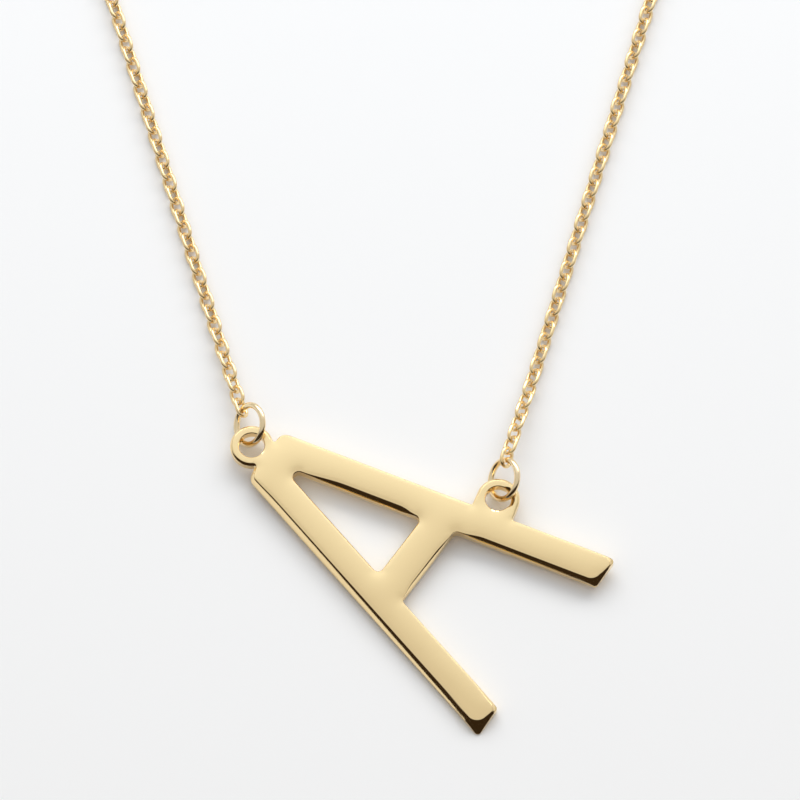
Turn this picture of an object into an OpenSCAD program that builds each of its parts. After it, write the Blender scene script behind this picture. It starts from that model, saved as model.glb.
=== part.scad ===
// Fine necklace with a large sideways letter A, lying flat on a surface.
// X runs to the right, Y towards the clasp and Z up from the surface.
// The origin is at the middle of the necklace's outer box, on the surface.

/* [Letter] */
// Height of the letter, from its left foot to its flat top
letter_h = 31.9; // [28:0.05:36]
// Width across the outside of the two feet
letter_w = 21; // [19:0.1:24]
// Width of the flat top
top_w = 5.4; // [5:0.1:6]
// Width of each leg
leg_w = 3; // [2.85:0.05:3.5]
// How much further down the right leg reaches than the left one
leg_extra = 0.4; // [0:0.05:0.6]
// Height of the crossbar's lower edge above the feet
bar_y = 13.2; // [11:0.05:15]
// Width of the crossbar
bar_w = 3.2; // [2.4:0.1:4]
// Thickness of the plate
plate_t = 1.05; // [0.9:0.05:1.1]
// Radius that rounds the front edge over
edge_r = 0.52; // [0.3:0.02:0.52]
// Slope at which that rounding meets the plate's side
edge_angle = 50; // [40:1:50]
// Bevel of the back edge
back_bevel = 0.08; // [0.04:0.01:0.15]
// Radius of the two corners of the flat top, seen from the front
top_corner_r = 0.9; // [0.5:0.05:1]
// Radius of the corners of the feet, at the plate's side
foot_corner_r = 0.36; // [0.24:0.02:0.6]
// Radius of the same corners at the flat of the face
foot_face_r = 0.9; // [0.6:0.05:0.95]
// Radius of the corners under and over the crossbar
inner_corner_r = 0.55; // [0.3:0.05:0.8]
// Angle by which the upright letter is turned to the left
letter_turn = 53.9; // [50:0.1:58]

/* [Eyelets] */
// Outside diameter of an eyelet
lug_d = 4; // [3.9:0.05:4.4]
// Bore of an eyelet
lug_hole_d = 2.4; // [2.35:0.05:2.6]
// Flat left between an eyelet's rounded edge and the bevel round the front of its bore
lug_rim = 0.035; // [0.02:0.005:0.06]
// Bevel round the back of the bore
lug_back_bevel = 0.12; // [0.05:0.01:0.2]
// Distance of the top eyelet's centre from the letter's flat top
top_lug_out = 1.56; // [1.46:0.02:1.8]
// Distance of the leg eyelet's centre from the leg's outer edge
leg_lug_out = 1.48; // [1.3:0.02:1.7]
// Distance of the leg eyelet from the letter's top, along the leg's outer edge
leg_lug_run = 21; // [18:0.1:24]
// Radius of the notch where an eyelet meets the letter
notch_r = 0.18; // [0.1:0.02:0.3]

/* [Rings] */
// Outside diameter of the jump rings and of the end ring
ring_d = 4.25; // [4.1:0.05:4.6]
// Wire of the rings
ring_wire = 0.58; // [0.5:0.02:0.6]
// Angle at which a ring leans on its eyelet
ring_tilt = 50; // [48:1:54]
// Distance from the left eyelet's centre to its ring's centre
left_ring_out = 2.1; // [2:0.02:2.2]
// Direction of the left ring's centre from its eyelet
left_ring_at = 96; // [92:1:98]
// Direction of the left ring's long axis
left_ring_axis = 106; // [103:1:108]
// Distance from the right eyelet's centre to its ring's centre
right_ring_out = 2; // [1.94:0.02:2.06]
// Direction of the right ring's centre from its eyelet
right_ring_at = 74; // [72:1:77]
// Direction of the right ring's long axis
right_ring_axis = 99; // [97:1:101]
// Angle round the left ring from its long axis to its chain
left_hook = 14; // [8:1:18]
// Angle round the right ring from its long axis to its chain
right_hook = -22; // [-26:1:-15]
// Height of the rings' centres above the middle of the eyelets
lug_drop = 0.34; // [0.3:0.01:0.4]

/* [Chain] */
// Wire of the chain links
link_wire = 0.36; // [0.3:0.01:0.4]
// Length of the opening in a link
link_open_l = 1.43; // [1.36:0.01:1.6]
// Width of the opening in a link
link_open_w = 0.88; // [0.85:0.01:1.1]
// Play between one link and the next, along the chain
link_play = 0.13; // [0.12:0.01:0.16]
// Links of each chain that come before its back stretch
front_links = 120; // [40:1:120]
// How far the links by the pendant are twisted from the rest
start_twist = 4; // [0:1:12]
// Length over which that twist runs out
twist_run = 40; // [10:1:80]
// Length over which a chain comes down from its ring to the surface
landing_run = 12; // [10:0.5:20]

/* [Loop] */
// Distance of the left ring's eyelet from the loop's middle line
hang_x = 11.8; // [10:0.1:15]
// Distance from that eyelet up to the centre of the loop's round back
loop_rise = 118; // [90:1:140]
// Radius of the loop's round back
back_r = 45; // [36:0.5:60]

/* [Clasp] */
// Outside diameter of the clasp's ring
clasp_d = 5.5; // [5:0.1:7]
// Wire of the clasp's ring
clasp_wire = 1; // [0.8:0.05:1.1]
// Outside diameter of the clasp's eye
eye_d = 2.2; // [2:0.05:2.6]
// Wire of the clasp's eye
eye_wire = 0.6; // [0.5:0.02:0.64]

/* [Hidden] */
gold = [0.95, 0.83, 0.58];
wire_fn = 32;
round_fn = 64;
// Largest angle of one step round a corner of the letter
arc_step = 18;
// Steps across the rounded front edge
edge_steps = 4;
// The back stretch of a chain is one bar, with this many sides and this far from ring to ring
bar_sides = 8;
bar_step = 3;
// Distance from a back bar's end to the ring or eye that holds its last link
bar_end_gap = 0.3;
gap = 0.1;

// Plane vectors
function dir(a) = [cos(a), sin(a)];
function angle_of(v) = atan2(v.y, v.x);
function smooth(t) = let (u = min(max(t, 0), 1)) u * u * (3 - 2 * u);
function turn_between(a, b) = let (t = b - a) t > 180 ? t - 360 : t < -180 ? t + 360 : t;

// Outline of the letter, upright with its left foot on y = 0.
// An arc is [centre, radius, first angle, sweep, growth, way]; a sweep above 0 bulges out of the
// metal. Per unit of inset the radius grows by growth, and the centre moves by growth along way.
leg_lean = atan((letter_w - top_w) / 2 / letter_h);
leg_x = leg_w / cos(leg_lean);
bar_top = bar_y + bar_w;
function inner_x(y) = letter_w / 2 - leg_x - y * tan(leg_lean);
tri_top = (letter_w / 2 - leg_x) / tan(leg_lean);

function corner(before, at, after, r, growth = 0) =
    let (
        a = angle_of(at - before),
        t = turn_between(a, angle_of(after - at)),
        side = sign(t),
        way = side * dir(a + 90) - tan(abs(t) / 2) * dir(a)
    )
    [at + r * way, r, a - side * 90, t, growth, way];

// The three arcs of an eyelet on an edge that runs in direction a and passes under it at foot.
// A straight one has parallel sides below its centre, another one stays round to its notches.
function lug_arcs(foot, a, out, straight) =
    let (
        r = lug_d / 2,
        half = straight ? r + notch_r : sqrt(pow(r + notch_r, 2) - pow(out - notch_r, 2)),
        rise = straight ? 0 : atan2(out - notch_r, half),
        lift = notch_r * dir(a - 90)
    )
    [
        [foot - half * dir(a) + lift, notch_r, a + 90, -90 - rise, 0, [0, 0]],
        [foot + out * dir(a - 90), r, a + 180 - rise, 180 + 2 * rise, 0, [0, 0]],
        [foot + half * dir(a) + lift, notch_r, a + 180 + rise, -90 - rise, 0, [0, 0]]
    ];

foot_r = [letter_w / 2 + leg_extra * tan(leg_lean), -leg_extra];
foot_l = [-letter_w / 2, 0];
foot_r_in = [inner_x(-leg_extra), -leg_extra];
foot_l_in = [-inner_x(0), 0];
top_r = [top_w / 2, letter_h];
top_l = [-top_w / 2, letter_h];
bar_r = [inner_x(bar_y), bar_y];
bar_l = [-inner_x(bar_y), bar_y];
tri_t = [0, tri_top];
tri_r = [inner_x(bar_top), bar_top];
tri_l = [-inner_x(bar_top), bar_top];

leg_edge = angle_of(top_r - foot_r);
top_lug_foot = [0, letter_h];
leg_lug_foot = top_r - leg_lug_run * dir(leg_edge);
top_lug = top_lug_foot + [0, top_lug_out];
leg_lug = leg_lug_foot + leg_lug_out * dir(leg_edge - 90);

// Distance from the outline to the flat of the face
edge_in = edge_r * sin(edge_angle);
foot_growth = 1 + (foot_face_r - foot_corner_r) / edge_in;
arcs = concat(
    [corner(foot_r_in, foot_r, top_r, foot_corner_r, foot_growth)],
    lug_arcs(leg_lug_foot, leg_edge, leg_lug_out, true),
    [corner(foot_r, top_r, top_l, top_corner_r)],
    lug_arcs(top_lug_foot, 180, top_lug_out, false),
    [
        corner(top_r, top_l, foot_l, top_corner_r),
        corner(top_l, foot_l, foot_l_in, foot_corner_r, foot_growth),
        corner(foot_l, foot_l_in, bar_l, foot_corner_r, foot_growth),
        corner(foot_l_in, bar_l, bar_r, inner_corner_r),
        corner(bar_l, bar_r, foot_r_in, inner_corner_r),
        corner(bar_r, foot_r_in, foot_r, foot_corner_r, foot_growth),
        corner(tri_l, tri_t, tri_r, inner_corner_r),
        corner(tri_t, tri_r, tri_l, inner_corner_r),
        corner(tri_r, tri_l, tri_t, inner_corner_r)
    ]
);

// Names of the arcs, in the order of the list; the last three are those of the inner triangle
arc_names = ["foot_r", "leg_notch_a", "leg_lug", "leg_notch_b", "top_r", "top_notch_a", "top_lug",
    "top_notch_b", "top_l", "foot_l", "foot_l_in", "bar_l", "bar_r", "foot_r_in", "tri_t", "tri_r",
    "tri_l"];
function arc(name) = search([name], arc_names)[0];
outer_arcs = arc("tri_t");

function steps(k) = max(3, ceil(abs(arcs[k][3]) / arc_step));
// An arc that runs straight into the next one leaves their shared point to it
function shares_end(k) = k == arc("top_notch_a") || k == arc("top_lug");
function own_steps(k) = steps(k) - (shares_end(k) ? 1 : 0);
function first(k) = k == 0 ? 0 : last(k - 1) + 1;
function last(k) = first(k) + own_steps(k);
// Step of a notch arc at which the neck of its eyelet is narrowest
function neck(k) = round(steps(k) * 90 / abs(arcs[k][3]));
function arc_point(k, i, inset) =
    let (a = arcs[k], more = a[4] * inset)
    a[0] + more * a[5] + (a[1] + more - sign(a[3]) * inset) * dir(a[2] + a[3] * i / steps(k));
function outline(inset) =
    [for (k = [0:len(arcs) - 1]) for (i = [0:own_steps(k)]) arc_point(k, i, inset)];
outer_count = last(outer_arcs - 1) + 1;
point_count = last(len(arcs) - 1) + 1;

// Inset and height of each ring of points, from the back edge to the front face
levels = concat(
    [[back_bevel, 0], [0, back_bevel]],
    [for (i = [edge_steps:-1:0]) let (a = edge_angle * i / edge_steps)
        [edge_in - edge_r * sin(a), plate_t - edge_r + edge_r * cos(a)]]
);

// Points inside a face that its triangles fan out from
inner_top = tri_top - inner_corner_r * (1 / sin(leg_lean) - 1);
function hubs(inset) = [
    ["top", [0, (letter_h + inner_top) / 2]],
    ["left", [-inner_x(bar_y + bar_w / 2) - leg_x / 2, bar_y + bar_w / 2]],
    ["right", [inner_x(bar_y + bar_w / 2) + leg_x / 2, bar_y + bar_w / 2]],
    ["top_foot", top_lug_foot - [0, inset + notch_r / 2]],
    ["top_lug", top_lug],
    ["leg_foot", leg_lug_foot + (inset + notch_r / 2) * dir(leg_edge + 90)],
    ["leg_lug", leg_lug]
];
function hub(name) = point_count + search([name], hubs(0))[0];

// Numbers of an arc's points
function head(name) = first(arc(name));
function tail(name) = last(arc(name));
function span(name) = [for (i = [head(name):tail(name)]) i];
function part_of(k, from, to) = [for (i = [from:to]) first(k) + i];
function fan(centre, around, closed = true) =
    [for (i = [0:len(around) - (closed ? 1 : 2)]) [centre, around[i], around[(i + 1) % len(around)]]];
function lug_fans(place) =
    let (a = arc(str(place, "_notch_a")), b = arc(str(place, "_notch_b")))
    concat(
        fan(hub(str(place, "_foot")),
            concat(part_of(a, 0, neck(a)), part_of(b, steps(b) - neck(b), steps(b))), false),
        fan(hub(str(place, "_lug")),
            concat(part_of(a, neck(a), own_steps(a)), span(str(place, "_lug")),
                part_of(b, 0, steps(b) - neck(b))))
    );
// The inner triangle's top is so narrow that the ends of its arc turn away from the hub above it
apex = arc("tri_t");
apex_side = floor(steps(apex) / 4);
face_fans = concat(
    fan(hub("top"), concat(span("top_r"), [head("top_notch_a"), hub("top_foot"), tail("top_notch_b")],
        span("top_l"), part_of(apex, apex_side, steps(apex) - apex_side))),
    fan(tail("top_l"), part_of(apex, 0, apex_side), false),
    fan(head("top_r"), part_of(apex, steps(apex) - apex_side, steps(apex)), false),
    fan(hub("left"), concat(span("tri_l"), [head("tri_t"), tail("top_l")], span("foot_l"),
        span("foot_l_in"), span("bar_l"))),
    fan(hub("right"), concat(span("foot_r_in"), span("foot_r"),
        [head("leg_notch_a"), hub("leg_foot"), tail("leg_notch_b"), head("top_r"), tail("tri_t")],
        span("tri_r"), span("bar_r"))),
    fan(tail("bar_l"), [head("bar_r"), tail("tri_r"), head("tri_l")], false),
    lug_fans("top"),
    lug_fans("leg")
);

module letter_plate() {
    rows = len(levels);
    // Each level holds its outline and then the hubs, which only the two faces use
    row = point_count + len(hubs(0));
    points = [
        for (l = levels)
            for (p = concat(outline(l[0]), [for (h = hubs(l[0])) h[1]]))
                [p.x, p.y, l[1]]
    ];
    function wall(from, count) = [
        for (j = [0:rows - 2])
            for (i = [0:count - 1])
                let (a = j * row + from + i, b = j * row + from + (i + 1) % count)
                [a, a + row, b + row, b]
    ];
    polyhedron(points, concat(
        wall(0, outer_count),
        wall(outer_count, point_count - outer_count),
        face_fans,
        [for (f = face_fans) [for (i = [2:-1:0]) f[i] + (rows - 1) * row]]
    ));
}

lug_hole_bevel = (lug_d / 2 - edge_in) * cos(arc_step / 2) - lug_hole_d / 2 - lug_rim;

module bore_bevel(width) {
    cylinder(h = 2 * width, d1 = lug_hole_d, d2 = lug_hole_d + 4 * width, $fn = round_fn);
}

module lug_bore(at) {
    translate([at.x, at.y, -plate_t])
        cylinder(h = 3 * plate_t, d = lug_hole_d, $fn = round_fn);
    translate([at.x, at.y, plate_t - lug_hole_bevel])
        bore_bevel(lug_hole_bevel);
    translate([at.x, at.y, lug_back_bevel])
        mirror([0, 0, 1])
            bore_bevel(lug_back_bevel);
}

// How the letter lies: on the two rings at its eyelets and on the corner of its left foot
ring_mean_r = (ring_d - ring_wire) / 2;
ring_z = ring_mean_r * sin(ring_tilt) + ring_wire / 2;
back_z = ring_z - lug_drop - plate_t / 2;
lug_line = leg_lug - top_lug;
lug_line_angle = letter_turn + angle_of(lug_line);
function beyond_lugs(p) = cross(p - top_lug, lug_line) / norm(lug_line);
foot_reach = max([for (p = outline(back_bevel)) beyond_lugs(p)]);
letter_tilt = asin(back_z / foot_reach);

// Plan of the loop, before it is centred: the loop's middle line is x = 0, and the left
// eyelet lies on y = 0
loop_centre = [0, loop_rise];
left_lug = [-hang_x, 0];
turned_line = norm(lug_line) * dir(lug_line_angle);
right_lug = left_lug + turned_line;
left_ring = left_lug + left_ring_out * dir(left_ring_at);
right_ring = right_lug + right_ring_out * dir(right_ring_at);

// Point on a ring's wire at an angle round it towards its low side
function ring_point(centre, axis, hook) =
    let (
        p = centre + ring_mean_r * (cos(hook) * dir(axis) + sin(hook) * cos(ring_tilt) * dir(axis + 90)),
        z = ring_z - ring_mean_r * sin(hook) * sin(ring_tilt)
    )
    [p.x, p.y, z];

// Clasp and end ring, which close the loop along a chord of its round back
link_rest_z = (link_open_w + link_wire) / 2 * cos(45) + link_wire / 2;
clasp_mean_r = (clasp_d - clasp_wire) / 2;
eye_mean_r = (eye_d - eye_wire) / 2;
eye_out = clasp_mean_r + clasp_wire / 2 + eye_mean_r;
eye_reach = eye_out + eye_mean_r;
clasp_tilt = asin((ring_z - link_rest_z) / (clasp_mean_r + eye_reach));
end_ring_out = clasp_mean_r - clasp_wire / 2 + ring_mean_r - ring_wire / 2 - 2 * gap;
clasp_span = eye_reach + end_ring_out + ring_mean_r;
clasp_y = loop_centre.y + sqrt(pow(back_r, 2) - pow(clasp_span / 2, 2));
clasp_x = -clasp_span / 2 + eye_reach;
end_ring = [clasp_x + end_ring_out, clasp_y];

// A chain leaves its ring straight, runs on to the round back and follows it to the clasp.
// Each is worked out on the right-hand side, and the left one is mirrored.
function route_start(side) = side < 0
    ? ring_point(left_ring, left_ring_axis, left_hook)
    : ring_point(right_ring, right_ring_axis, right_hook);
function route_end(side) = side < 0
    ? [-clasp_span / 2, clasp_y, link_rest_z]
    : ring_point(end_ring, 0, 0);
function mirrored(p, side) = [side * p.x, p.y];
function touch_angle(q) =
    let (v = q - loop_centre)
    angle_of(v) + acos(back_r / norm(v));
// [start, straight direction, straight length, first angle of the arc, whole length]
function route(side) =
    let (
        q = mirrored(route_start(side), side),
        a = touch_angle(q),
        t = loop_centre + back_r * dir(a),
        e = mirrored(route_end(side), side) - loop_centre,
        run = norm(t - q)
    )
    [q, angle_of(t - q), run, a, run + back_r * (angle_of(e) - a) * PI / 180];
routes = [route(-1), route(1)];
function route_of(side) = routes[side < 0 ? 0 : 1];
function arc_angle(r, s) = r[3] + (s - r[2]) / back_r * 180 / PI;
function plan_at(r, s) = s < r[2] ? r[0] + s * dir(r[1]) : loop_centre + back_r * dir(arc_angle(r, s));
function heading_at(r, s) = s < r[2] ? r[1] : arc_angle(r, s) + 90;

// Links of one chain
link_mean_r = (link_open_w + link_wire) / 2;
link_half = (link_open_l - link_open_w) / 2;
link_pitch_max = link_open_l - link_play;
function link_count(r) = ceil((r[4] - 2 * link_half) / link_pitch_max) + 1;
function link_pitch(r) = (r[4] - 2 * link_half) / (link_count(r) - 1);
function twist_at(s) = 45 + start_twist * (1 - smooth(s / twist_run));
function rest_z(twist) = link_wire / 2 + link_mean_r * max(abs(sin(twist)), abs(cos(twist)));
function height_at(side, s) =
    let (
        r = route_of(side),
        rest = rest_z(twist_at(s)),
        up = (route_start(side).z - rest) * (1 - smooth(s / landing_run)),
        down = (route_end(side).z - rest) * (1 - smooth((r[4] - s) / landing_run))
    )
    rest + up + down;
function slope_at(side, s) =
    atan((height_at(side, s + link_half) - height_at(side, s - link_half)) / (2 * link_half));

module chain_link() {
    for (end = [0, 180])
        rotate([0, 0, end])
            translate([link_half, 0, 0])
                rotate([0, 0, -90])
                    rotate_extrude(angle = 180, $fn = wire_fn)
                        translate([link_mean_r, 0])
                            circle(d = link_wire, $fn = wire_fn);
    for (y = [-link_mean_r, link_mean_r])
        translate([-link_half, y, 0])
            rotate([0, 90, 0])
                cylinder(h = 2 * link_half, d = link_wire, $fn = wire_fn);
}

module chain(side) {
    r = route_of(side);
    for (i = [0:min(front_links, link_count(r)) - 1]) {
        s = link_half + i * link_pitch(r);
        p = plan_at(r, s);
        translate([side * p.x, p.y, height_at(side, s)])
            rotate([0, 0, side < 0 ? 180 - heading_at(r, s) : heading_at(r, s)])
                rotate([0, -slope_at(side, s), 0])
                    rotate([twist_at(s) + 90 * (i % 2), 0, 0])
                        chain_link();
    }
}

// The last stretch of a chain as one smooth bar, as thick as its links
module back_chain(side) {
    r = route_of(side);
    from = (front_links - 1) * link_pitch(r) + link_open_l + link_wire + gap;
    to = r[4] - max(ring_wire, eye_wire) / 2 - bar_end_gap;
    rings = max(2, ceil((to - from) / bar_step) + 1);
    bar_r = link_rest_z / cos(180 / bar_sides);
    points = [
        for (j = [0:rings - 1])
            let (
                s = from + (to - from) * j / (rings - 1),
                p = plan_at(r, s),
                across = dir(heading_at(r, s) - 90)
            )
            for (k = [0:bar_sides - 1])
                let (a = 360 * (k + 0.5) / bar_sides)
                [
                    side * (p.x + bar_r * cos(a) * across.x),
                    p.y + bar_r * cos(a) * across.y,
                    height_at(side, s) + bar_r * sin(a)
                ]
    ];
    ends = [
        [for (k = [0:bar_sides - 1]) k],
        [for (k = [bar_sides - 1:-1:0]) (rings - 1) * bar_sides + k]
    ];
    sides = [
        for (j = [0:rings - 2])
            for (k = [0:bar_sides - 1])
                let (a = j * bar_sides + k, b = j * bar_sides + (k + 1) % bar_sides)
                [a, a + bar_sides, b + bar_sides, b]
    ];
    faces = concat(ends, sides);
    polyhedron(points, side > 0 ? faces : [for (f = faces) [for (i = [len(f) - 1:-1:0]) f[i]]]);
}

module wire_ring(d, wire) {
    rotate_extrude($fn = round_fn)
        translate([(d - wire) / 2, 0])
            circle(d = wire, $fn = wire_fn);
}

// A ring whose long axis points in direction axis and whose left side lies on the surface
module leaning_ring(centre, axis) {
    translate([centre.x, centre.y, ring_z])
        rotate([0, 0, axis])
            rotate([-ring_tilt, 0, 0])
                wire_ring(ring_d, ring_wire);
}

// The whole loop is centred on the origin
function turned(p) = p.x * dir(letter_turn) + p.y * dir(letter_turn + 90);
foot_y = min([for (p = outline(0)) (left_lug + turned(p - top_lug)).y]);
loop_top = clasp_y + max(clasp_d / 2, ring_mean_r * cos(ring_tilt) + ring_wire / 2);
centre_y = (foot_y + loop_top) / 2;

module placed() {
    translate([0, -centre_y, 0])
        color(gold)
            children();
}

module letter() {
    placed()
        translate([left_lug.x, left_lug.y, back_z])
            rotate(a = letter_tilt, v = [turned_line.x, turned_line.y, 0])
                rotate([0, 0, letter_turn])
                    translate([-top_lug.x, -top_lug.y, 0])
                        difference() {
                            letter_plate();
                            lug_bore(top_lug);
                            lug_bore(leg_lug);
                        }
}

module jump_ring_left() {
    placed() leaning_ring(left_ring, left_ring_axis);
}

module jump_ring_right() {
    placed() leaning_ring(right_ring, right_ring_axis);
}

module chain_left() {
    placed() chain(-1);
}

module chain_right() {
    placed() chain(1);
}

module back_chain_left() {
    placed() back_chain(-1);
}

module back_chain_right() {
    placed() back_chain(1);
}

// Ring clasp with a small eye for the chain, tilted because it lies on the end ring
module clasp() {
    placed()
        translate([clasp_x + clasp_mean_r, clasp_y, ring_z])
            rotate([0, -clasp_tilt, 0])
                translate([-clasp_mean_r, 0, 0]) {
                    wire_ring(clasp_d, clasp_wire);
                    translate([-eye_out, 0, 0])
                        wire_ring(eye_d, eye_wire);
                }
}

module end_ring() {
    placed() leaning_ring(end_ring, 0);
}

letter();
jump_ring_left();
jump_ring_right();
chain_left();
chain_right();
back_chain_left();
back_chain_right();
clasp();
end_ring();
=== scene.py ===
"""A fine gold necklace with a large sideways letter A, lying on a pale surface.

The plan of the letter, rings and chains repeats part.scad's sizes, in millimetres and degrees.
MM turns them into Blender's metres where a mesh is made.
"""

import random
from collections import namedtuple
from math import acos, asin, atan, atan2, ceil, cos, degrees, hypot, pi, radians, sin, sqrt, tan

import bmesh
import bpy
import numpy as np
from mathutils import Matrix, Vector
from mathutils.geometry import delaunay_2d_cdt


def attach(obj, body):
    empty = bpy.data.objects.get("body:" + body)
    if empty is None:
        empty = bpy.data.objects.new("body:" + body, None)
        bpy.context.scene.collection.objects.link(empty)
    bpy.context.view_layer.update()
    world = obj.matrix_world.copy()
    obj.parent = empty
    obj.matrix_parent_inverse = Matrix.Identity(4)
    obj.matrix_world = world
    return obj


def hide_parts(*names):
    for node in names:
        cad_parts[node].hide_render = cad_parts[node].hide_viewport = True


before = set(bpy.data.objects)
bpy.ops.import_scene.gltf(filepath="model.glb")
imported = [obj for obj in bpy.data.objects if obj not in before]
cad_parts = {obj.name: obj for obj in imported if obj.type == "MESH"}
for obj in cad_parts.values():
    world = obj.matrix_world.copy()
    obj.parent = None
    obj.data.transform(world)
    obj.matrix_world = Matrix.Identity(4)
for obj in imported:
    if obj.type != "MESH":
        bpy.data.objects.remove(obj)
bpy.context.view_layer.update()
MM = 0.001

# Sizes of the letter, as in part.scad
LETTER_H, LETTER_W, TOP_W, LEG_W, LEG_EXTRA = 31.9, 21, 5.4, 3, 0.4
BAR_Y, BAR_W, PLATE_T, BACK_BEVEL = 13.2, 3.2, 1.05, 0.08
EDGE_R, EDGE_ANGLE, CAD_ARC_STEP = 0.52, 50, 18
TOP_CORNER_R, FOOT_CORNER_R, FOOT_FACE_R, INNER_CORNER_R = 0.9, 0.36, 0.9, 0.55
LETTER_TURN = 53.9
LUG_D, LUG_HOLE_D, LUG_RIM = 4, 2.4, 0.035
TOP_LUG_OUT, LEG_LUG_OUT, LEG_LUG_RUN, NOTCH_R = 1.56, 1.48, 21, 0.18

# Sizes of the rings, the chains and the clasp, as in part.scad
RING_D, RING_WIRE, RING_TILT, LUG_DROP = 4.25, 0.58, 50, 0.34
LEFT_RING_OUT, LEFT_RING_AT, LEFT_RING_AXIS, LEFT_HOOK = 2.1, 96, 106, 14
RIGHT_RING_OUT, RIGHT_RING_AT, RIGHT_RING_AXIS, RIGHT_HOOK = 2, 74, 99, -22
LINK_WIRE, LINK_OPEN_L, LINK_OPEN_W, LINK_PLAY, FRONT_LINKS = 0.36, 1.43, 0.88, 0.13, 120
LINK_TWIST, START_TWIST, TWIST_RUN, LANDING_RUN = 45, 4, 40, 12
HANG_X, LOOP_RISE, BACK_R = 11.8, 118, 45
CLASP_D, CLASP_WIRE, EYE_D, EYE_WIRE, GAP = 5.5, 1, 2.2, 0.6, 0.1

# The left chain's last link stands up steeply, so that the clasp's eye passes through it.
EYE_TWIST, EYE_TWIST_RUN = 25, 14
# Each link rolls by up to this, at random.
LINK_SWAY = 1.5

# The ground front edge: at its full width GRIND it turns out of the face on the tight radius
# TURN_R, from FACE_SLOPE to the first of its slopes, then slackly to the second, where the plate's
# side begins. Further out, as at a foot's corner, it falls at CORNER_SLOPE.
FACE_SLOPE, TURN_R, GRIND, CORNER_SLOPE, EDGE_STEPS = 5, 0.12, 0.4, 36, 5
GRIND_SLOPES, STEEP_SLOPES = (39, 55), (45, 63)
# The bores' bevel turns from the first of its slopes to the second. It is wider where the right
# ring leans over the bore's edge, around this direction.
BORE_BEVEL, BORE_SLOPES, BORE_STEPS = 0.06, (57, 33), 6
RING_BEARS_AT, RING_BEARS_HALF = 315, 30
# The face's dome: its height, how far from the rim it levels out, and its solver's limits.
PILLOW, PILLOW_REACH, PILLOW_ROUNDS, PILLOW_ERROR = 0.09, 1.6, 600, 1e-12
LEAST_SIDE_SQUARED = 1e-4

# Fineness of the meshes: steps in degrees or millimetres, then counts and sharp edges' angles.
ARC_STEP, LEAST_ARC_STEPS, RUN_STEP, FACE_GRID, NET_CLEAR = 5, 3, 0.5, 0.17, 0.5
CIRCLE_STEPS, RING_STEPS, RING_SIDES, EYE_STEPS, EYE_SIDES = 72, 96, 28, 64, 20
LINK_STEPS, LINK_SIDES = 12, 12
SHARP_LETTER, SHARP_WIRE = 30, 60
SAME_POINT, NET_ERROR, WELD_METRES = 1e-6, 1e-7, 1e-6
INSIDE_CONSTRAINTS = 1

random.seed(7)


def direction(a):
    return np.array([cos(radians(a)), sin(radians(a))])


def angle_of(v):
    return degrees(atan2(v[1], v[0]))


def smooth(t):
    u = min(max(t, 0), 1)
    return u * u * (3 - 2 * u)


def signed_turn(a):
    """The same angle between -180 and 180 degrees."""
    return (a + 180) % 360 - 180


def turn(axis, a):
    """Rotation about one of the axes."""
    c, s = cos(radians(a)), sin(radians(a))
    i, j = {"x": (1, 2), "y": (2, 0), "z": (0, 1)}[axis]
    m = np.eye(3)
    m[i, i] = m[j, j] = c
    m[i, j], m[j, i] = -s, s
    return m


# The outline of the letter, upright, with its left foot on the X axis
LEG_LEAN = degrees(atan((LETTER_W - TOP_W) / 2 / LETTER_H))
LEG_X = LEG_W / cos(radians(LEG_LEAN))
BAR_TOP = BAR_Y + BAR_W
TRI_TOP = (LETTER_W / 2 - LEG_X) / tan(radians(LEG_LEAN))
EDGE_IN = EDGE_R * sin(radians(EDGE_ANGLE))

# From its first angle an arc sweeps on, and a sweep above 0 bulges out of the metal. Per unit of
# inset its radius grows by growth and its centre moves by growth along way.
Arc = namedtuple("Arc", "centre r first sweep growth way")


def inner_x(y):
    return LETTER_W / 2 - LEG_X - y * tan(radians(LEG_LEAN))


def corner(before, at, after, r, growth=0):
    """The arc that rounds a corner."""
    a = angle_of(at - before)
    t = signed_turn(angle_of(after - at) - a)
    side = 1 if t > 0 else -1
    way = side * direction(a + 90) - tan(radians(abs(t) / 2)) * direction(a)
    return Arc(at + r * way, r, a - side * 90, t, growth, way)


def lug_arcs(foot, a, out, straight):
    """Notch, eyelet and notch; a straight eyelet has parallel sides below its centre."""
    r = LUG_D / 2
    half = r + NOTCH_R if straight else sqrt((r + NOTCH_R) ** 2 - (out - NOTCH_R) ** 2)
    rise = 0 if straight else degrees(atan2(out - NOTCH_R, half))
    lift = NOTCH_R * direction(a - 90)
    still = np.zeros(2)
    return [
        Arc(foot - half * direction(a) + lift, NOTCH_R, a + 90, -90 - rise, 0, still),
        Arc(foot + out * direction(a - 90), r, a + 180 - rise, 180 + 2 * rise, 0, still),
        Arc(foot + half * direction(a) + lift, NOTCH_R, a + 180 + rise, -90 - rise, 0, still),
    ]


def point(x, y):
    return np.array([x, y], float)


foot_r = point(LETTER_W / 2 + LEG_EXTRA * tan(radians(LEG_LEAN)), -LEG_EXTRA)
foot_l = point(-LETTER_W / 2, 0)
foot_r_in, foot_l_in = point(inner_x(-LEG_EXTRA), -LEG_EXTRA), point(-inner_x(0), 0)
top_r, top_l = point(TOP_W / 2, LETTER_H), point(-TOP_W / 2, LETTER_H)
bar_r, bar_l = point(inner_x(BAR_Y), BAR_Y), point(-inner_x(BAR_Y), BAR_Y)
tri_t = point(0, TRI_TOP)
tri_r, tri_l = point(inner_x(BAR_TOP), BAR_TOP), point(-inner_x(BAR_TOP), BAR_TOP)
leg_edge = angle_of(top_r - foot_r)
leg_lug_foot = top_r - LEG_LUG_RUN * direction(leg_edge)
top_lug = point(0, LETTER_H + TOP_LUG_OUT)
leg_lug = leg_lug_foot + LEG_LUG_OUT * direction(leg_edge - 90)

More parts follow.
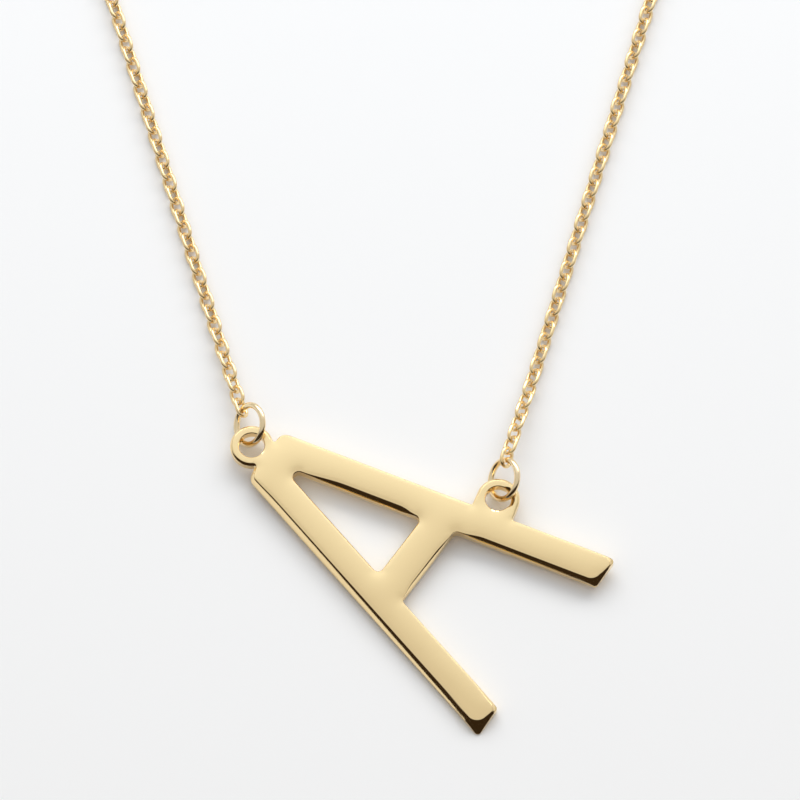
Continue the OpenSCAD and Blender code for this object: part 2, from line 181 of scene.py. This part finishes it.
foot = (FOOT_CORNER_R, 1 + (FOOT_FACE_R - FOOT_CORNER_R) / EDGE_IN)
leg_lug_arcs = lug_arcs(leg_lug_foot, leg_edge, LEG_LUG_OUT, True)
top_lug_arcs = lug_arcs(point(0, LETTER_H), 180, TOP_LUG_OUT, False)
# How far the edge is ground back, as a share of GRIND: here at an arc, then at the middle of the
# straight run after it. near and far are the lengths over which that changes beside this arc and
# beside the next one, and steep is how far the slopes go from GRIND_SLOPES to STEEP_SLOPES.
Ground = namedtuple("Ground", "arc here middle near far steep", defaults=(0,))
OUTER = [
    Ground(corner(foot_r_in, foot_r, top_r, *foot), 0.4, 0.3, 2, 1),
    Ground(leg_lug_arcs[0], 0.3, 0.4, 1, 1),
    Ground(leg_lug_arcs[1], 0.6, 0.4, 1, 1),
    Ground(leg_lug_arcs[2], 0.3, 0.3, 1, 1),
    Ground(corner(foot_r, top_r, top_l, TOP_CORNER_R), 0.35, 0.3, 1, 1),
    Ground(top_lug_arcs[0], 0.3, 0.4, 1, 1),
    Ground(top_lug_arcs[1], 0.6, 0.4, 1, 1),
    Ground(top_lug_arcs[2], 0.6, 0.7, 1, 1),
    Ground(corner(top_r, top_l, foot_l, TOP_CORNER_R), 1.05, 1.35, 3, 3, 1.7),
    Ground(corner(top_l, foot_l, foot_l_in, *foot), 1.14, 1.0, 1.5, 1),
    Ground(corner(foot_l, foot_l_in, bar_l, *foot), 0.7, 0.3, 3, 3),
    Ground(corner(foot_l_in, bar_l, bar_r, INNER_CORNER_R), 0.15, 0.65, 1.5, 2.5, 1.6),
    Ground(corner(bar_l, bar_r, foot_r_in, INNER_CORNER_R), 0.15, 1.05, 2.5, 2, 0.5),
    Ground(corner(bar_r, foot_r_in, foot_r, *foot), 1.05, 0.9, 1, 1.5),
]
INNER = [
    Ground(corner(tri_l, tri_t, tri_r, INNER_CORNER_R), 0.2, 1.15, 4.5, 1.5),
    Ground(corner(tri_t, tri_r, tri_l, INNER_CORNER_R), 0.3, 0.3, 3, 3),
    Ground(corner(tri_r, tri_l, tri_t, INNER_CORNER_R), 0.3, 0.3, 4, 4),
]


def arc_point(arc, a, inset):
    side = 1 if arc.sweep > 0 else -1
    r = arc.r + (arc.growth - side) * inset
    return arc.centre + arc.growth * inset * arc.way + r * direction(a)


class Outline:
    """A closed outline as samples on its arcs and on the straight runs between them."""

    def __init__(self, edges):
        self.samples, self.grind, self.steep = [], [], []
        for edge, then in zip(edges, edges[1:] + edges[:1]):
            arc, after = edge.arc, then.arc
            end, start = arc.first + arc.sweep, after.first
            n = max(LEAST_ARC_STEPS, ceil(abs(arc.sweep) / ARC_STEP))
            for i in range(n + 1):
                self.add((arc, arc.first + arc.sweep * i / n, arc, 0, 0), edge.here, edge.steep)
            run = np.linalg.norm(arc_point(after, start, 0) - arc_point(arc, end, 0))
            n = ceil(run / RUN_STEP)
            for i in range(1, n):
                s = run * i / n
                part = smooth(i / n)
                to_middle = smooth(s / min(edge.near, run))
                near = edge.here + (edge.middle - edge.here) * to_middle
                to_middle = smooth((run - s) / min(edge.far, run))
                far = then.here + (edge.middle - then.here) * to_middle
                steep = edge.steep + (then.steep - edge.steep) * part
                self.add((arc, end, after, start, i / n), near + (far - near) * part, steep)
        self.grind, self.steep = np.array(self.grind), np.array(self.steep)

    def add(self, sample, grind, steep):
        """Adds a sample, unless it lies on the last one or closes the loop."""
        at = self.place(sample, 0)
        if self.samples and np.linalg.norm(at - self.place(self.samples[-1], 0)) < SAME_POINT:
            return
        closed = len(self.samples) > 2
        if closed and np.linalg.norm(at - self.place(self.samples[0], 0)) < SAME_POINT:
            return
        self.samples.append(sample)
        self.grind.append(grind)
        self.steep.append(steep)

    def place(self, sample, inset):
        arc, a, after, b, t = sample
        p = arc_point(arc, a, inset)
        return p if t == 0 else p + t * (arc_point(after, b, inset) - p)

    def at(self, inset, ground=False):
        """Points moved into the metal by inset, or by inset times how far the edge is ground."""
        insets = np.broadcast_to(inset, len(self.samples)) * (self.grind if ground else 1)
        return np.array([self.place(sample, d) for sample, d in zip(self.samples, insets)])


outer, inner = Outline(OUTER), Outline(INNER)

# How the letter and the rings lie
RING_MEAN = (RING_D - RING_WIRE) / 2
RING_Z = RING_MEAN * sin(radians(RING_TILT)) + RING_WIRE / 2
BACK_Z = RING_Z - LUG_DROP - PLATE_T / 2
lug_line = leg_lug - top_lug


def beyond_lugs(p):
    return (p[0] - top_lug[0]) * lug_line[1] - (p[1] - top_lug[1]) * lug_line[0]


foot_reach = max(beyond_lugs(p) for p in outer.at(BACK_BEVEL)) / hypot(*lug_line)
letter_tilt = degrees(asin(BACK_Z / foot_reach))
left_lug = point(-HANG_X, 0)
turned_line = hypot(*lug_line) * direction(LETTER_TURN + angle_of(lug_line))
right_lug = left_lug + turned_line
left_ring = left_lug + LEFT_RING_OUT * direction(LEFT_RING_AT)
right_ring = right_lug + RIGHT_RING_OUT * direction(RIGHT_RING_AT)


def tilt_about(axis, a):
    """Rotation about a level axis through the origin."""
    k = np.array([axis[0], axis[1], 0]) / hypot(*axis)
    cross = np.array([[0, -k[2], k[1]], [k[2], 0, -k[0]], [-k[1], k[0], 0]])
    return np.eye(3) + sin(radians(a)) * cross + (1 - cos(radians(a))) * cross @ cross


LETTER_FRAME = tilt_about(turned_line, letter_tilt) @ turn("z", LETTER_TURN)


def ring_frame(axis):
    return turn("z", axis) @ turn("x", -RING_TILT)


def ring_point(centre, axis, hook):
    own = np.array([cos(radians(hook)), sin(radians(hook)), 0]) * RING_MEAN
    return ring_frame(axis) @ own + np.array([*centre, RING_Z])


# How the chains and the clasp lie
LINK_MEAN = (LINK_OPEN_W + LINK_WIRE) / 2
LINK_HALF = (LINK_OPEN_L - LINK_OPEN_W) / 2
CLASP_MEAN, EYE_MEAN = (CLASP_D - CLASP_WIRE) / 2, (EYE_D - EYE_WIRE) / 2
EYE_OUT = CLASP_MEAN + CLASP_WIRE / 2 + EYE_MEAN
EYE_REACH = EYE_OUT + EYE_MEAN
EYE_Z = LINK_WIRE / 2 + LINK_MEAN * sin(radians(LINK_TWIST + EYE_TWIST))
CLASP_TILT = degrees(asin((RING_Z - EYE_Z) / (CLASP_MEAN + EYE_REACH)))
END_RING_OUT = CLASP_MEAN - CLASP_WIRE / 2 + RING_MEAN - RING_WIRE / 2 - 2 * GAP
CLASP_SPAN = EYE_REACH + END_RING_OUT + RING_MEAN
loop_centre = point(0, LOOP_RISE)
CLASP_Y = LOOP_RISE + sqrt(BACK_R**2 - (CLASP_SPAN / 2) ** 2)
CLASP_X = -CLASP_SPAN / 2 + EYE_REACH
EYE_X = CLASP_X + CLASP_MEAN - (CLASP_MEAN + EYE_REACH) * cos(radians(CLASP_TILT))
end_ring = point(CLASP_X + END_RING_OUT, CLASP_Y)

turned = turn("z", LETTER_TURN)[:2, :2]
foot_y = min((left_lug + turned @ (p - top_lug))[1] for p in outer.at(0))
ring_half = RING_MEAN * cos(radians(RING_TILT)) + RING_WIRE / 2
loop_top = CLASP_Y + max(CLASP_D / 2, ring_half)
CENTRE_Y = (foot_y + loop_top) / 2


class Route:
    """One chain's way from its ring to the clasp, worked out on the right, mirrored for side -1."""

    def __init__(self, side):
        self.side = side
        if side < 0:
            self.start = ring_point(left_ring, LEFT_RING_AXIS, LEFT_HOOK)
            self.end = np.array([EYE_X, CLASP_Y, EYE_Z])
        else:
            self.start = ring_point(right_ring, RIGHT_RING_AXIS, RIGHT_HOOK)
            self.end = ring_point(end_ring, 0, 0)
        self.q = self.start[:2] * [side, 1]
        v = self.q - loop_centre
        self.bend_from = angle_of(v) + degrees(acos(BACK_R / hypot(*v)))
        t = loop_centre + BACK_R * direction(self.bend_from)
        self.run = hypot(*(t - self.q))
        self.heading = angle_of(t - self.q)
        e = self.end[:2] * [side, 1] - loop_centre
        self.length = self.run + BACK_R * radians(angle_of(e) - self.bend_from)
        straight = self.length - 2 * LINK_HALF
        self.count = ceil(straight / (LINK_OPEN_L - LINK_PLAY)) + 1
        self.pitch = straight / (self.count - 1)

    def twist(self, s):
        """Roll of the even links; the odd ones stand across them."""
        at_eye = 1 - smooth((self.length - s) / EYE_TWIST_RUN) if self.side < 0 else 0
        return LINK_TWIST + START_TWIST * (1 - smooth(s / TWIST_RUN)) + EYE_TWIST * at_eye

    def height(self, s):
        """Lying on the surface, but lifted at both ends to the ring or eye there."""
        t = radians(self.twist(s))
        rest = LINK_WIRE / 2 + LINK_MEAN * max(abs(sin(t)), abs(cos(t)))
        up = (self.start[2] - rest) * (1 - smooth(s / LANDING_RUN))
        down = (self.end[2] - rest) * (1 - smooth((self.length - s) / LANDING_RUN))
        return rest + up + down

    def link(self, i):
        """(rotation, centre) of link i."""
        s = LINK_HALF + i * self.pitch
        if s < self.run:
            p, heading = self.q + s * direction(self.heading), self.heading
        else:
            a = self.bend_from + degrees((s - self.run) / BACK_R)
            p, heading = loop_centre + BACK_R * direction(a), a + 90
        rise = self.height(s + LINK_HALF) - self.height(s - LINK_HALF)
        slope = degrees(atan(rise / (2 * LINK_HALF)))
        sway = random.uniform(-LINK_SWAY, LINK_SWAY)
        rotation = (
            turn("z", 180 - heading if self.side < 0 else heading)
            @ turn("y", -slope)
            @ turn("x", self.twist(s) + 90 * (i % 2) + sway)
        )
        return rotation, np.array([self.side * p[0], p[1], self.height(s)])


def place_object(name, data):
    obj = bpy.data.objects.new(name, data)
    bpy.context.scene.collection.objects.link(obj)
    return obj


def aim(obj, at, look):
    obj.location = Vector(at)
    obj.rotation_euler = (Vector(look) - Vector(at)).to_track_quat("-Z", "Y").to_euler()


def shade(mesh, sharp):
    mesh.polygons.foreach_set("use_smooth", [True] * len(mesh.polygons))
    mesh.set_sharp_from_angle(angle=radians(sharp))


def mesh_object(name, verts, faces, sharp=SHARP_WIRE):
    """An object of points in the loop's plan, moved to the row's frame."""
    verts = (np.asarray(verts, float) - [0, CENTRE_Y, 0]) * MM
    mesh = bpy.data.meshes.new(name)
    mesh.from_pydata(verts.tolist(), [], [list(map(int, f)) for f in faces])
    mesh.update()
    mesh.validate()
    shade(mesh, sharp)
    return place_object(name, mesh)


def upright(n):
    return np.tile([0.0, 0, 1], (n, 1))


def tube(path, across, up, r, sides):
    """Closed round wire along a closed path; across and up span its section at each point."""
    n = len(path)
    a = 2 * pi * (np.arange(sides) + 0.5) / sides
    rings = (
        path[:, None]
        + r * np.cos(a)[None, :, None] * across[:, None]
        + r * np.sin(a)[None, :, None] * up[:, None]
    )
    faces = [
        (i * sides + k, j * sides + k, j * sides + m, i * sides + m)
        for i, j in zip(range(n), [*range(1, n), 0])
        for k, m in zip(range(sides), [*range(1, sides), 0])
    ]
    return rings.reshape(-1, 3), np.array(faces)


def wire_ring(mean_r, wire, steps=RING_STEPS, sides=RING_SIDES):
    a = 2 * pi * np.arange(steps) / steps
    out = np.stack([np.cos(a), np.sin(a), 0 * a], 1)
    return tube(mean_r * out, out, upright(steps), wire / 2, sides)


def wire_link():
    """Oval link in its own frame: two half circles and two straight sides."""
    path, across = [], []
    for end in (0, 1):
        for k in range(LINK_STEPS + 1):
            a = -pi / 2 + pi * k / LINK_STEPS + pi * end
            out = np.array([cos(a), sin(a), 0])
            path.append(LINK_MEAN * out + [LINK_HALF if end == 0 else -LINK_HALF, 0, 0])
            across.append(out)
    return tube(np.array(path), np.array(across), upright(len(path)), LINK_WIRE / 2, LINK_SIDES)


def joined(pieces):
    """One list of points and one of faces from several."""
    verts, faces, base = [], [], 0
    for v, f in pieces:
        verts.append(v)
        faces.extend((np.asarray(f) + base).tolist())
        base += len(v)
    return np.concatenate(verts), faces


def chain_piece(name, route, first, last):
    v, f = wire_link()
    pieces = []
    for i in range(first, last):
        rotation, centre = route.link(i)
        pieces.append((v @ rotation.T + centre, f))
    return mesh_object(name, *joined(pieces))


def leaning_ring(name, centre, axis):
    v, f = wire_ring(RING_MEAN, RING_WIRE)
    return mesh_object(name, v @ ring_frame(axis).T + [*centre, RING_Z], f)


def clasp_piece():
    """The clasp's ring with its eye, tipped so that the eye reaches down to the last link."""
    ring = wire_ring(CLASP_MEAN, CLASP_WIRE)
    v, f = wire_ring(EYE_MEAN, EYE_WIRE, EYE_STEPS, EYE_SIDES)
    v, f = joined([ring, (v - [EYE_OUT, 0, 0], f)])
    v = (v - [CLASP_MEAN, 0, 0]) @ turn("y", -CLASP_TILT).T
    return mesh_object("clasp_ring", v + [CLASP_X + CLASP_MEAN, CLASP_Y, RING_Z], f)


def slope_arc(r, slopes, steps):
    """(inset, drop) steps of a rounding of radius r that turns from one slope to another."""
    a = [radians(slopes[0] + (slopes[1] - slopes[0]) * i / steps) for i in range(steps + 1)]
    return [(r * (sin(b) - sin(a[0])), r * (cos(a[0]) - cos(b))) for b in a]


def ground_edge(slopes):
    """(way, drop) of the ground edge at its full width, from the face outwards."""
    tight = slope_arc(TURN_R, (FACE_SLOPE, slopes[0]), EDGE_STEPS)
    x0, y0 = tight[-1]
    slack_r = (GRIND - x0) / (sin(radians(slopes[1])) - sin(radians(slopes[0])))
    slack = slope_arc(slack_r, slopes, EDGE_STEPS)
    return np.array(tight + [(x0 + x, y0 + y) for x, y in slack[1:]]).T


def ground_drop(way, slopes):
    """Drop at a way from the face; past the full width it goes on evenly."""
    past = np.maximum(way - GRIND, 0)
    return np.interp(way, *ground_edge(slopes)) + tan(radians(CORNER_SLOPE)) * past


def pillow(p, tris, fixed):
    """Height of a skin blown up over the face, 0 at its fixed rim.

    It solves laplace(z) - z / reach^2 = -1 by conjugate gradients.
    """
    pairs = np.concatenate([tris[:, [0, 1]], tris[:, [1, 2]], tris[:, [2, 0]]])
    i, j = np.unique(np.sort(pairs, 1), axis=0).T
    n = len(p)
    weight = 1 / np.maximum(((p[i] - p[j]) ** 2).sum(1), LEAST_SIDE_SQUARED)
    total = np.bincount(i, weight, n) + np.bincount(j, weight, n)
    # Scaled so that the sum stands for the laplacian of an even triangular net
    scale = 4 / (np.bincount(i, minlength=n) + np.bincount(j, minlength=n))
    free = np.ones(n)
    free[fixed] = 0

    def apply(z):
        spread = total * z - np.bincount(i, weight * z[j], n) - np.bincount(j, weight * z[i], n)
        return free * (spread + z / (scale * PILLOW_REACH**2))

    z = np.zeros(n)
    rest = free / scale
    way = rest.copy()
    size = rest @ rest
    for _ in range(PILLOW_ROUNDS):
        moved = apply(way)
        step = size / (way @ moved)
        z += step * way
        rest -= step * moved
        size, before = rest @ rest, size
        if size < PILLOW_ERROR:
            break
        way = rest + size / before * way
    return z


def loop_sides(loop):
    return zip(loop, np.roll(loop, -1, 0))


def segment_distance(p, loops):
    """Distance of each point from the nearest side of the closed loops."""
    best = np.full(len(p), np.inf)
    for loop in loops:
        for a, b in loop_sides(loop):
            ab = b - a
            t = np.clip(((p - a) @ ab) / (ab @ ab), 0, 1)
            best = np.minimum(best, np.linalg.norm(p - a - t[:, None] * ab, axis=1))
    return best


def inside(p, loop):
    """Even-odd test of points in a closed loop."""
    x, y = p[:, 0], p[:, 1]
    hit = np.zeros(len(p), bool)
    for a, b in loop_sides(loop):
        if a[1] == b[1]:
            continue
        left = x < (b[0] - a[0]) * (y - a[1]) / (b[1] - a[1]) + a[0]
        hit ^= ((a[1] > y) != (b[1] > y)) & left
    return hit


def in_face(p, rim, holes):
    ok = inside(p, rim)
    for hole in holes:
        ok &= ~inside(p, hole)
    return ok


def net_points(rim, grid):
    """A triangular net of points over the rim's box."""
    lo, hi = rim.min(0), rim.max(0)
    row = grid * sqrt(3) / 2
    return np.array([
        (lo[0] + (i + 0.5 * (j % 2)) * grid, lo[1] + j * row)
        for j in range(int((hi[1] - lo[1]) / row))
        for i in range(int((hi[0] - lo[0]) / grid))
    ])


def face_mesh(rim, holes, grid=0):
    """Triangles between a rim and holes, with the loops' points first and in order."""
    loops = [rim, *holes]
    points = [p for loop in loops for p in loop]
    edges, base = [], 0
    for loop in loops:
        edges += [(base + i, base + (i + 1) % len(loop)) for i in range(len(loop))]
        base += len(loop)
    if grid:
        net = net_points(rim, grid)
        net = net[in_face(net, rim, holes)]
        points += list(net[segment_distance(net, loops) > NET_CLEAR * grid])
    points = [Vector(p) for p in points]
    verts, _, tris, *_ = delaunay_2d_cdt(points, edges, [], INSIDE_CONSTRAINTS, NET_ERROR)
    verts, tris = np.array(verts), np.array(tris)
    tris = tris[in_face(verts[tris].mean(1), rim, holes)]
    corners = verts[tris]
    u, w = corners[:, 1] - corners[:, 0], corners[:, 2] - corners[:, 0]
    flip = u[:, 0] * w[:, 1] - u[:, 1] * w[:, 0] < 0
    tris[flip] = tris[flip][:, ::-1]
    return verts, tris


def circle(centre, r):
    """Points round a centre; r is one radius or one for each point."""
    a = 2 * pi * np.arange(CIRCLE_STEPS) / CIRCLE_STEPS
    return centre + np.broadcast_to(r, CIRCLE_STEPS)[:, None] * np.stack([np.cos(a), np.sin(a)], 1)


def ring_bears():
    """1 round a bore where the right ring leans over its edge, falling to 0 on both sides."""
    step = 360 / CIRCLE_STEPS
    off = [abs(signed_turn(step * i - RING_BEARS_AT)) for i in range(CIRCLE_STEPS)]
    return np.array([1 - smooth(a / RING_BEARS_HALF - 1) for a in off])


def level(loop, z):
    return np.c_[loop, np.broadcast_to(z, len(loop))]


class Shell:
    """Points and faces of the letter, collected surface by surface."""

    def __init__(self):
        self.verts, self.faces = [], []

    def add(self, points):
        base = sum(len(v) for v in self.verts)
        self.verts.append(points)
        return base

    def strip(self, rows, outwards):
        """Quads between rows of equal length; outwards says which way the surface looks."""
        n = len(rows[0])
        bases = [self.add(row) for row in rows]
        for a, b in zip(bases, bases[1:]):
            for i in range(n):
                j = (i + 1) % n
                quad = (a + i, a + j, b + j, b + i)
                self.faces.append(quad if outwards else quad[::-1])

    def fill(self, points, tris):
        self.faces.extend((tris + self.add(points)).tolist())


def letter_piece():
    shell = Shell()
    for line in (outer, inner):
        rim = line.at(GRIND, True)
        rows = [level(line.at(BACK_BEVEL), 0), level(line.at(0), BACK_BEVEL)]
        for inset in GRIND - ground_edge(GRIND_SLOPES)[0][::-1]:
            row = line.at(inset, True)
            way = segment_distance(row, [rim]) / line.grind
            usual, steep = ground_drop(way, GRIND_SLOPES), ground_drop(way, STEEP_SLOPES)
            drop = line.grind * (usual + (steep - usual) * line.steep)
            rows.append(level(row, PLATE_T - drop))
        shell.strip(rows, True)

    bore_r = LUG_HOLE_D / 2
    widest = (LUG_D / 2 - EDGE_IN) * cos(radians(CAD_ARC_STEP / 2)) - bore_r - LUG_RIM
    bevels = [np.full(CIRCLE_STEPS, BORE_BEVEL), BORE_BEVEL + (widest - BORE_BEVEL) * ring_bears()]
    rounding = slope_arc(1, BORE_SLOPES, BORE_STEPS)
    mouths = []
    for lug, bevel in zip((top_lug, leg_lug), bevels):
        stretch = bevel / -rounding[-1][0]
        rows = [level(circle(lug, bore_r + BACK_BEVEL), 0), level(circle(lug, bore_r), BACK_BEVEL)]
        for x, y in rounding:
            rows.append(level(circle(lug, bore_r - x * stretch), PLATE_T - bevel - y * stretch))
        shell.strip(rows, False)
        mouths.append(circle(lug, bore_r + bevel))

    rims = [outer.at(GRIND, True), inner.at(GRIND, True), *mouths]
    p, tris = face_mesh(rims[0], rims[1:], FACE_GRID)
    dome = pillow(p, tris, np.arange(sum(len(rim) for rim in rims)))
    shell.fill(level(p, PLATE_T + PILLOW * dome), tris)
    back = [circle(lug, bore_r + BACK_BEVEL) for lug in (top_lug, leg_lug)]
    p, tris = face_mesh(outer.at(BACK_BEVEL), [inner.at(BACK_BEVEL), *back])
    shell.fill(level(p, 0), tris[:, ::-1])

    own = np.concatenate(shell.verts) - [*top_lug, 0]
    placed = own @ LETTER_FRAME.T + [*left_lug, BACK_Z]
    obj = mesh_object("letter_plate", placed, shell.faces, SHARP_LETTER)
    weld(obj.data)
    return obj


def weld(mesh):
    """Joins the rows that meet, so that the whole letter is one closed surface."""
    bm = bmesh.new()
    bm.from_mesh(mesh)
    bmesh.ops.remove_doubles(bm, verts=bm.verts, dist=WELD_METRES)
    bm.to_mesh(mesh)
    bm.free()
    shade(mesh, SHARP_LETTER)


SMUDGE_FINER, SMOOTHEST, ROUGHEST = 4, 0.75, 1.3
DRIFT_DETAIL, SMUDGE_DETAIL, MARKS_DETAIL = 3, 5, 2
MARKS_SCALE, MARKS_DEPTH = 2500, 0.00002


def principled(name):
    """(material, its Principled BSDF)"""
    mat = bpy.data.materials.new(name)
    mat.use_nodes = True
    return mat, mat.node_tree.nodes["Principled BSDF"]


def noise(tree, place, scale, detail):
    node = tree.nodes.new("ShaderNodeTexNoise")
    node.inputs["Scale"].default_value = scale
    node.inputs["Detail"].default_value = detail
    tree.links.new(place.outputs["Object"], node.inputs["Vector"])
    return node.outputs["Fac"]


def ranged(tree, value, low, high):
    node = tree.nodes.new("ShaderNodeMapRange")
    node.inputs["To Min"].default_value = low
    node.inputs["To Max"].default_value = high
    tree.links.new(value, node.inputs["Value"])
    return node.outputs["Result"]


def gold(name, colour, deep, roughness, grain, scratch):
    """Polished gold plate with a slow drift of colour, uneven gloss and fine polishing marks."""
    mat, shader = principled(name)
    shader.inputs["Metallic"].default_value = 1.0
    tree = mat.node_tree
    place = tree.nodes.new("ShaderNodeTexCoord")

    tone = tree.nodes.new("ShaderNodeMix")
    tone.data_type = "RGBA"
    tone.inputs["A"].default_value = (*colour, 1)
    tone.inputs["B"].default_value = (*deep, 1)
    tree.links.new(noise(tree, place, grain, DRIFT_DETAIL), tone.inputs["Factor"])
    tree.links.new(tone.outputs["Result"], shader.inputs["Base Color"])

    smudge = noise(tree, place, grain * SMUDGE_FINER, SMUDGE_DETAIL)
    rough = ranged(tree, smudge, roughness * SMOOTHEST, roughness * ROUGHEST)
    tree.links.new(rough, shader.inputs["Roughness"])

    bump = tree.nodes.new("ShaderNodeBump")
    bump.inputs["Strength"].default_value = scratch
    bump.inputs["Distance"].default_value = MARKS_DEPTH
    tree.links.new(noise(tree, place, MARKS_SCALE, MARKS_DETAIL), bump.inputs["Height"])
    tree.links.new(bump.outputs["Normal"], shader.inputs["Normal"])
    return mat


# The camera looks from the front at the photo's angle.
ELEVATION, DISTANCE, LENS, SENSOR = 66, 0.5, 240.6, 36
CLIP_START, CLIP_END = 0.01, 20
LOOK_AT = Vector((1.96 * MM, -63.40 * MM, 0))
camera = place_object("camera", bpy.data.cameras.new("camera"))
towards_camera = Vector((0, -cos(radians(ELEVATION)), sin(radians(ELEVATION))))
aim(camera, LOOK_AT + DISTANCE * towards_camera, LOOK_AT)
camera.data.lens = LENS
camera.data.sensor_width = SENSOR
camera.data.clip_start = CLIP_START
camera.data.clip_end = CLIP_END
bpy.context.scene.camera = camera
bpy.context.scene.view_settings.view_transform = "Standard"

FLOOR_HALF, FLOOR_DROP = 3, 0.00002
FLOOR_GREY, FLOOR_ROUGHNESS, FLOOR_SPECULAR = 0.95, 0.8, 0.1


def floor_material():
    mat, shader = principled("pale_surface")
    shader.inputs["Base Color"].default_value = (FLOOR_GREY, FLOOR_GREY, FLOOR_GREY, 1)
    shader.inputs["Roughness"].default_value = FLOOR_ROUGHNESS
    shader.inputs["Specular IOR Level"].default_value = FLOOR_SPECULAR
    return mat


floor_mesh = bpy.data.meshes.new("surface")
signs = ((-1, -1), (1, -1), (1, 1), (-1, 1))
floor_corners = [(x * FLOOR_HALF, y * FLOOR_HALF, 0) for x, y in signs]
floor_mesh.from_pydata(floor_corners, [], [(0, 1, 2, 3)])
floor = place_object("surface", floor_mesh)
floor.location.z = -FLOOR_DROP
floor.data.materials.append(floor_material())

# The tent's stops as (position, colour): the ramp's two ends, then those between.
WORLD_LEAN, WORLD_STRENGTH = 0.9, 0.95
WORLD_RAMP = (
    (0.0, (0.035, 0.022, 0.012)),
    (1.0, (0.80, 0.80, 0.80)),
    (0.15, (0.66, 0.66, 0.66)),
    (0.75, (0.74, 0.74, 0.74)),
)


def studio_world():
    """A light tent, brightest high up behind the necklace and dark low down on the near side."""
    world = bpy.data.worlds.new("studio")
    bpy.context.scene.world = world
    world.use_nodes = True
    nodes, links = world.node_tree.nodes, world.node_tree.links
    background = nodes["Background"]
    place = nodes.new("ShaderNodeTexCoord")
    lean = nodes.new("ShaderNodeVectorMath")
    lean.operation = "DOT_PRODUCT"
    length = hypot(1, WORLD_LEAN)
    lean.inputs[1].default_value = (0, WORLD_LEAN / length, 1 / length)
    links.new(place.outputs["Generated"], lean.inputs[0])
    ramp = nodes.new("ShaderNodeValToRGB")
    ramp.color_ramp.interpolation = "EASE"
    stops = ramp.color_ramp.elements
    for k, (position, colour) in enumerate(WORLD_RAMP):
        stop = stops[k] if k < 2 else stops.new(position)
        stop.position = position
        stop.color = (*colour, 1)
    links.new(lean.outputs["Value"], ramp.inputs["Fac"])
    links.new(ramp.outputs["Color"], background.inputs["Color"])
    background.inputs["Strength"].default_value = WORLD_STRENGTH


def softbox(name, at, look, width, height, power, colour):
    light = bpy.data.lights.new(name, "AREA")
    light.color = colour
    light.shape = "RECTANGLE"
    light.size, light.size_y = width, height
    light.energy = power
    obj = place_object(name, light)
    aim(obj, at, look)
    obj.visible_camera = False
    return obj


def fade(panel, far, near):
    """Lets a softbox's light change evenly from its far long side to its near one."""
    panel.data.use_nodes = True
    tree = panel.data.node_tree
    place = tree.nodes.new("ShaderNodeNewGeometry")
    axes = tree.nodes.new("ShaderNodeSeparateXYZ")
    tree.links.new(place.outputs["Parametric"], axes.inputs["Vector"])
    strength = ranged(tree, axes.outputs["Y"], far, near)
    tree.links.new(strength, tree.nodes["Emission"].inputs["Strength"])


studio_world()
softbox(
    "softbox_back", at=(0.15, 0.84, 0.71), look=(0, -0.06, 0),
    width=2.0, height=0.5, power=9.4, colour=(1, 0.975, 0.94),
)
over = softbox(
    "softbox_over", at=(0, 0.02, 0.15), look=(0, -0.065, 0),
    width=0.28, height=0.15, power=0.055, colour=(0.84, 1, 1.18),
)
fade(over, far=2, near=0)

letter_gold = gold(
    "letter_gold", colour=(0.97, 0.75, 0.41), deep=(0.95, 0.73, 0.39),
    roughness=0.10, grain=60, scratch=0.1,
)
ring_gold = gold(
    "ring_gold", colour=(0.96, 0.78, 0.50), deep=(0.92, 0.73, 0.44),
    roughness=0.14, grain=200, scratch=0.1,
)
chain_gold = gold(
    "chain_gold", colour=(0.96, 0.75, 0.42), deep=(0.90, 0.66, 0.34),
    roughness=0.2, grain=300, scratch=0.15,
)
clasp_gold = gold(
    "clasp_gold", colour=(0.96, 0.78, 0.50), deep=(0.92, 0.73, 0.44),
    roughness=0.12, grain=200, scratch=0.1,
)


def finish_piece(obj, material, node):
    obj.data.materials.append(material)
    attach(obj, "root")
    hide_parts(node)


finish_piece(letter_piece(), letter_gold, "letter")
for name, node, centre, axis in (
    ("ring_left", "jump_ring_left", left_ring, LEFT_RING_AXIS),
    ("ring_right", "jump_ring_right", right_ring, RIGHT_RING_AXIS),
    ("ring_end", "end_ring", end_ring, 0),
):
    finish_piece(leaning_ring(name, centre, axis), ring_gold, node)

for side, word in ((-1, "left"), (1, "right")):
    route = Route(side)
    front = chain_piece("links_" + word, route, 0, FRONT_LINKS)
    finish_piece(front, chain_gold, "chain_" + word)
    back = chain_piece("back_links_" + word, route, FRONT_LINKS, route.count)
    finish_piece(back, chain_gold, "back_chain_" + word)

finish_piece(clasp_piece(), clasp_gold, "clasp")
